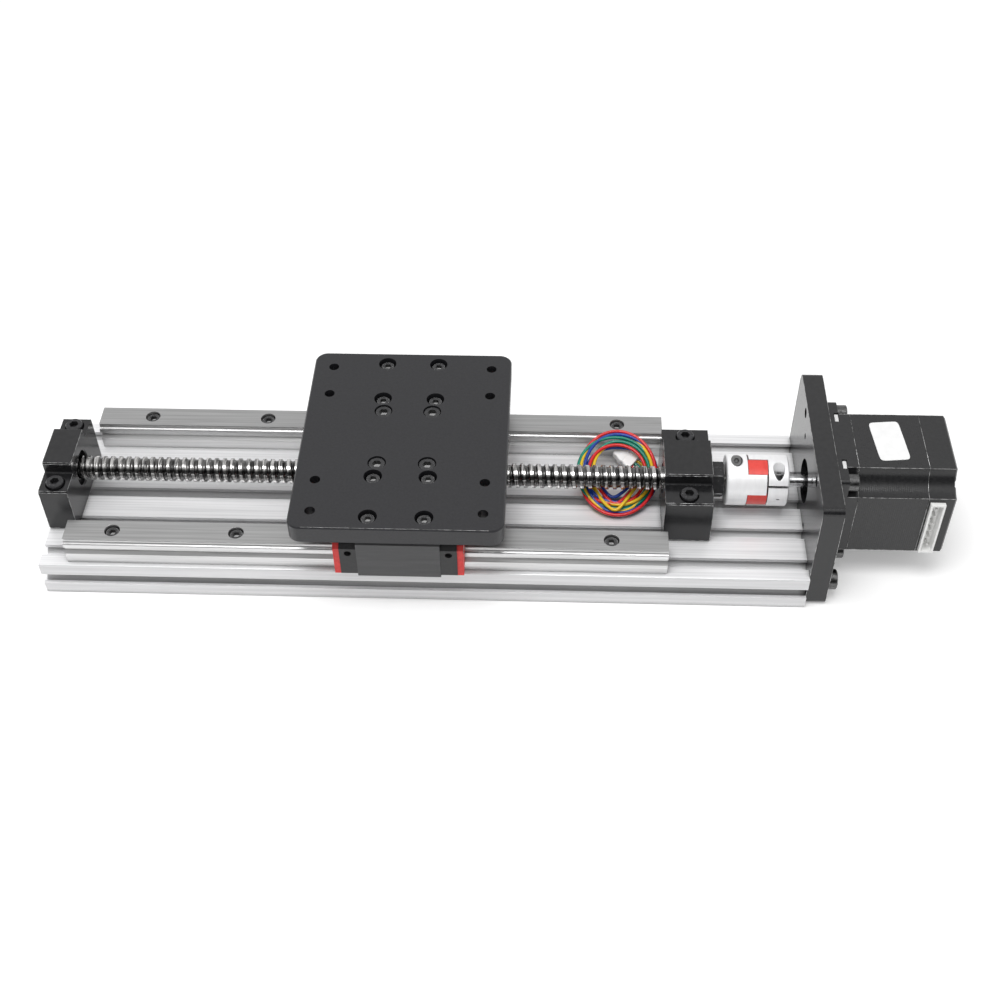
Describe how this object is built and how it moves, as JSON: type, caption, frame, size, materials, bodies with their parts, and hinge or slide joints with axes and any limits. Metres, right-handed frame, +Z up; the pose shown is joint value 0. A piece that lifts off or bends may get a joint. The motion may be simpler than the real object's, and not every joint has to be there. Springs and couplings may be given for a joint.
{
  "type": "ball screw linear module",
  "caption": "Motorised linear slide: a carriage plate on two rails over a T-slot base, driven by a ball screw through a jaw coupling by a square stepper motor.",
  "frame": {"origin": "under the middle of the module's overall length, on the underside of the base extrusion", "axes": "+X along the screw towards the motor, +Z up, +Y away from the side that the motor's socket faces"},
  "size_m": [0.438, 0.122, 0.066],
  "materials": {
    "extrusion": "natural anodised, streaked along its length",
    "rail_steel": "ground",
    "plate_black": "black anodised",
    "support_black": "black oxide",
    "screw_black": "black oxide fastener",
    "block_steel": "ground",
    "end_plastic": "moulded",
    "seal_red": "moulded",
    "screw_steel": "rolled thread, oiled",
    "bearing_steel": "polished",
    "nut_steel": "ground",
    "zinc_steel": "zinc plated",
    "coupling_silver": "matte anodised",
    "spider_red": "smooth",
    "motor_black": "matte",
    "lamination_black": "matte",
    "copper": "enamelled wire",
    "magnet": "plain",
    "shaft_steel": "ground",
    "label_white": "blank label",
    "socket_white": "moulded",
    "pin_tin": "tinned",
    "wire": "coloured insulation",
    "wiper_white": "moulded",
    "nipple_steel": "plated",
    "rubber_black": "moulded"
  },
  "bodies": {
    "base": {"base_profile": "extrusion", "rail_front": "rail_steel", "rail_back": "rail_steel", "rail_screws": "screw_black", "tee_nuts": "zinc_steel", "far_support_housing": "support_black", "far_bearing_outer_ring": "bearing_steel", "drive_support_housing": "support_black", "drive_support_cover": "support_black", "drive_support_cover_screws": "screw_black", "drive_support_seals": "rubber_black", "drive_bearing_outer_rings": "bearing_steel", "bearing_balls": "bearing_steel", "support_bearing_shields": "bearing_steel", "support_bolts": "screw_black", "motor_plate": "plate_black", "motor_plate_screws": "screw_black", "motor_front_bell": "motor_black", "motor_stator": "lamination_black", "motor_windings": "copper", "motor_rear_cap": "motor_black", "motor_case_screws": "screw_black", "motor_mount_screws": "zinc_steel", "motor_bearing_outer_rings": "bearing_steel", "motor_label": "label_white", "motor_socket": "socket_white", "socket_pins": "pin_tin", "harness_coil": "wire", "harness_plug": "socket_white"},
    "carriage": {"carriage_plate": "plate_black", "block_front_body": "block_steel", "block_back_body": "block_steel", "block_end_caps": "end_plastic", "block_end_seals": "seal_red", "block_end_screws": "zinc_steel", "grease_nipples": "nipple_steel", "block_balls": "bearing_steel", "block_spacers": "plate_black", "block_screws": "screw_black", "nut_housing": "plate_black", "ball_nut": "nut_steel", "ball_nut_balls": "bearing_steel", "nut_wipers": "wiper_white", "nut_flange_screws": "screw_black", "nut_housing_screws": "screw_black"},
    "screw": {"ball_screw": "screw_steel", "far_retaining_ring": "screw_black", "far_bearing_inner_ring": "bearing_steel", "drive_bearing_inner_rings": "bearing_steel", "drive_collars": "zinc_steel", "lock_nut": "screw_black", "lock_nut_set_screw": "screw_black", "coupling_hub_screw_side": "coupling_silver", "coupling_hub_motor_side": "coupling_silver", "coupling_spider": "spider_red", "coupling_clamp_screws": "screw_black", "motor_shaft": "shaft_steel", "rotor_cups": "shaft_steel", "rotor_magnet": "magnet", "motor_bearing_inner_rings": "bearing_steel"}
  },
  "joints": [
    {"name": "screw_spin", "type": "hinge", "parent": "base", "child": "screw", "pos_m": [0, 0, 0.037], "axis": [1, 0, 0], "range_deg": [-4681, 11161]},
    {"name": "carriage_slide", "type": "slide", "parent": "base", "child": "carriage", "axis": [1, 0, 0], "range_m": [-0.124, 0.052]}
  ],
  "couplings": [
    {"joint": "screw_spin", "follows": "carriage_slide", "rad_per_m": -1570.8}
  ]
}
